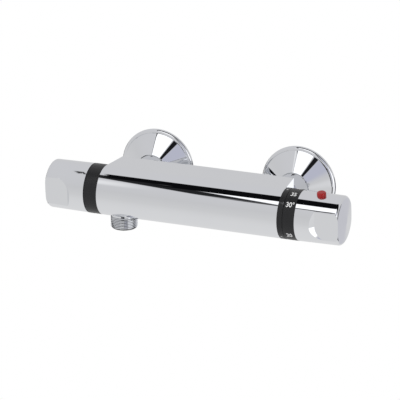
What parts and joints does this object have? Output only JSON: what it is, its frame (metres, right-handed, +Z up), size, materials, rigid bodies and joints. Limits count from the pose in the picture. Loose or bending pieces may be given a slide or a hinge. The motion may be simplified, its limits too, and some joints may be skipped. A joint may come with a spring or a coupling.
{
  "type": "thermostatic shower valve",
  "caption": "Wall-mounted bar thermostatic shower valve: round chrome bar with a flat shelf, flow knob, graduated temperature knob with safety button, and threaded outlet below.",
  "frame": {"origin": "on the finished wall plane, midway between the two G1/2 wall tails", "axes": "+X along the bar towards the temperature knob, +Y into the wall, +Z up"},
  "size_m": [0.306, 0.1265, 0.0766],
  "materials": {
    "chrome_plate": "polished",
    "bare_brass": "machined",
    "stainless_steel": "drawn wire and turned",
    "copper_capsule": "satin",
    "black_rubber": "matt",
    "satin_black": "satin moulded",
    "red_button": "gloss",
    "white_ceramic": "ground ceramic",
    "acetal_white": "moulded"
  },
  "bodies": {
    "bar": {"valve_body": "chrome_plate", "outlet_nipple": "chrome_plate", "wall_flange_hot": "chrome_plate", "union_nut_hot": "chrome_plate", "wall_flange_cold": "chrome_plate", "union_nut_cold": "chrome_plate", "flow_cartridge_nut": "bare_brass", "thermostat_cartridge_nut": "bare_brass", "eccentric_union_hot": "bare_brass", "inlet_nipple_hot": "bare_brass", "eccentric_union_cold": "bare_brass", "inlet_nipple_cold": "bare_brass", "return_spring": "stainless_steel", "check_valve_spring_hot": "stainless_steel", "inlet_filter_hot": "stainless_steel", "check_valve_spring_cold": "stainless_steel", "inlet_filter_cold": "stainless_steel", "outlet_o_ring": "black_rubber", "flow_seat_gasket": "black_rubber", "thermostat_o_rings": "black_rubber", "union_washer_hot": "black_rubber", "union_washer_cold": "black_rubber", "trim_ring": "satin_black", "index_ring": "satin_black", "flow_fixed_disc": "white_ceramic", "flow_cartridge_housing": "acetal_white", "thermostat_housing": "acetal_white", "stop_ring": "acetal_white", "check_valve_body_hot": "acetal_white", "check_valve_body_cold": "acetal_white"},
    "flow_control": {"flow_knob": "chrome_plate", "flow_knob_grub_screw": "stainless_steel", "flow_spindle": "bare_brass", "flow_spindle_o_rings": "black_rubber", "flow_moving_disc": "white_ceramic"},
    "temperature_control": {"temperature_knob": "chrome_plate", "temperature_knob_grub_screw": "stainless_steel", "scale_ring": "satin_black", "temperature_spindle": "bare_brass", "temperature_spindle_o_ring": "black_rubber", "safety_button_spring": "stainless_steel"},
    "safety_button": {"safety_button": "red_button"},
    "temperature_adjuster": {"adjusting_nut": "bare_brass", "overtravel_clip": "stainless_steel", "overtravel_spring": "stainless_steel"},
    "overtravel_plunger": {"overtravel_cup": "acetal_white", "thermostat_piston": "stainless_steel"},
    "thermostat_slide": {"thermostat_shuttle": "acetal_white", "thermostat_wax_element": "copper_capsule"},
    "check_poppet_hot": {"check_valve_poppet_hot": "acetal_white"},
    "check_poppet_cold": {"check_valve_poppet_cold": "acetal_white"}
  },
  "joints": [
    {"name": "flow_knob_turn", "type": "hinge", "parent": "bar", "child": "flow_control", "pos_m": [-0.107, -0.088, 0.006], "axis": [-1, 0, 0], "range_deg": [0, 90]},
    {"name": "temperature_knob_turn", "type": "hinge", "parent": "bar", "child": "temperature_control", "pos_m": [0.1104, -0.088, 0.006], "axis": [1, 0, 0], "range_deg": [-81, 120]},
    {"name": "safety_button_press", "type": "slide", "parent": "temperature_control", "child": "safety_button", "axis": [0, 0.1736, -0.9848], "range_m": [0, 0.002], "stiffness_N_per_m": 1500, "springref_m": -0.001, "deforming": ["safety_button_spring"]},
    {"name": "adjusting_nut_slide", "type": "slide", "parent": "bar", "child": "temperature_adjuster", "axis": [1, 0, 0], "range_m": [-0.001, 0.0014]},
    {"name": "overtravel_slide", "type": "slide", "parent": "temperature_adjuster", "child": "overtravel_plunger", "axis": [1, 0, 0], "range_m": [0, 0.002], "stiffness_N_per_m": 8000, "springref_m": -0.002, "deforming": ["overtravel_spring"]},
    {"name": "thermostat_stroke", "type": "slide", "parent": "temperature_adjuster", "child": "thermostat_slide", "axis": [1, 0, 0], "range_m": [-0.0012, 0], "stiffness_N_per_m": 2000, "springref_m": 0.002, "deforming": ["return_spring"]},
    {"name": "check_valve_hot_open", "type": "slide", "parent": "bar", "child": "check_poppet_hot", "axis": [0, -1, 0], "range_m": [0, 0.003], "stiffness_N_per_m": 100, "springref_m": -0.001, "deforming": ["check_valve_spring_hot"]},
    {"name": "check_valve_cold_open", "type": "slide", "parent": "bar", "child": "check_poppet_cold", "axis": [0, -1, 0], "range_m": [0, 0.003], "stiffness_N_per_m": 100, "springref_m": -0.001, "deforming": ["check_valve_spring_cold"]}
  ],
  "couplings": [
    {"joint": "adjusting_nut_slide", "follows": "temperature_knob_turn", "m_per_rad": 0.00063662}
  ]
}
